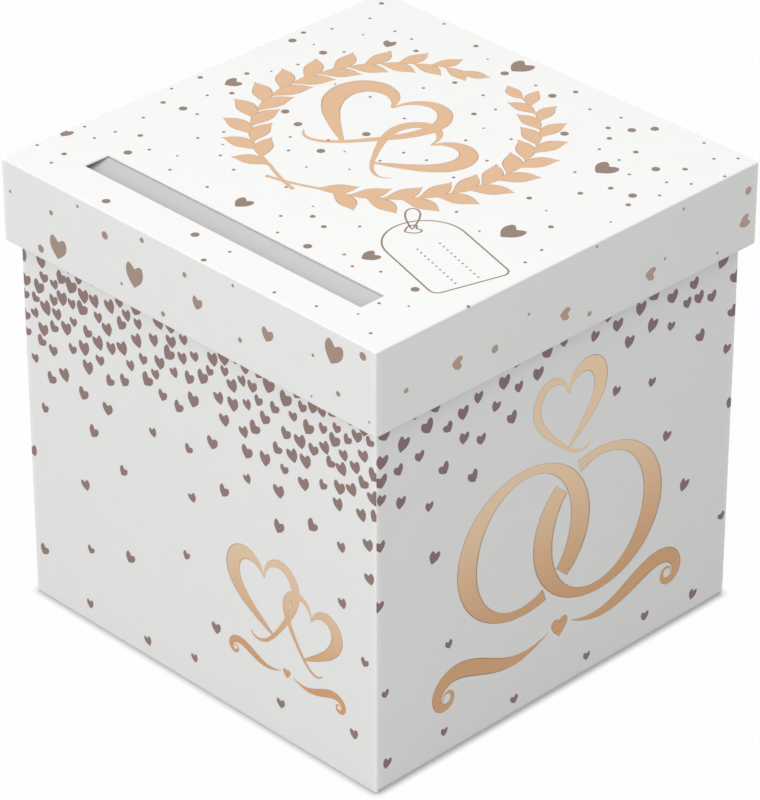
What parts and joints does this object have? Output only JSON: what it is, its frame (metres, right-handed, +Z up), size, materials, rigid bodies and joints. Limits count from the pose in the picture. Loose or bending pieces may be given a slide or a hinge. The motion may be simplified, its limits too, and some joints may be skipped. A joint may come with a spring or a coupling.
{
  "type": "wedding card box",
  "caption": "Square card box of folding board with a lift-off lid, a posting slot closed by a flap from below, and a printed confetti of hearts under the lid.",
  "frame": {"origin": "middle of the base, on the floor", "axes": "+Z up, -Y towards the front, the side that the slot is near"},
  "size_m": [0.3, 0.3, 0.29],
  "materials": {
    "box_board": "white coated folding board, printed",
    "lid_board": "white coated folding board, printed",
    "inner_board": "uncoated pale grey reverse side of the folding board",
    "confetti_print": "satin mauve-brown ink",
    "copper_foil": "satin copper foil print"
  },
  "bodies": {
    "box": {"front_wall": "box_board", "right_wall": "box_board", "back_wall": "box_board", "left_wall": "box_board", "side_seam_flap": "inner_board", "base_flap_front": "inner_board", "base_flap_back": "inner_board", "base_flap_left": "inner_board", "base_flap_right": "inner_board"},
    "lid": {"lid_top": "lid_board", "skirt_outer_front": "lid_board", "skirt_rim_front": "lid_board", "skirt_inner_front": "inner_board", "skirt_flange_front": "inner_board", "skirt_outer_right": "lid_board", "skirt_rim_right": "lid_board", "skirt_inner_right": "inner_board", "skirt_flange_right": "inner_board", "skirt_outer_back": "lid_board", "skirt_rim_back": "lid_board", "skirt_inner_back": "inner_board", "skirt_flange_back": "inner_board", "skirt_outer_left": "lid_board", "skirt_rim_left": "lid_board", "skirt_inner_left": "inner_board", "skirt_flange_left": "inner_board", "corner_gusset_front_right": "lid_board", "corner_gusset_back_right": "lid_board", "corner_gusset_back_left": "lid_board", "corner_gusset_front_left": "lid_board", "slot_flap_flange": "inner_board"},
    "slot_flap": {"slot_flap": "inner_board"}
  },
  "joints": [
    {"name": "lid_lift", "type": "slide", "parent": "box", "child": "lid", "axis": [0, 0, 1], "range_m": [0, 0.2]},
    {"name": "slot_flap_fold", "type": "hinge", "parent": "lid", "child": "slot_flap", "pos_m": [0, -0.1032, 0.2884], "axis": [1, 0, 0], "range_deg": [-13, 120], "stiffness_Nm_per_rad": 0.02, "springref_deg": -1.15}
  ]
}
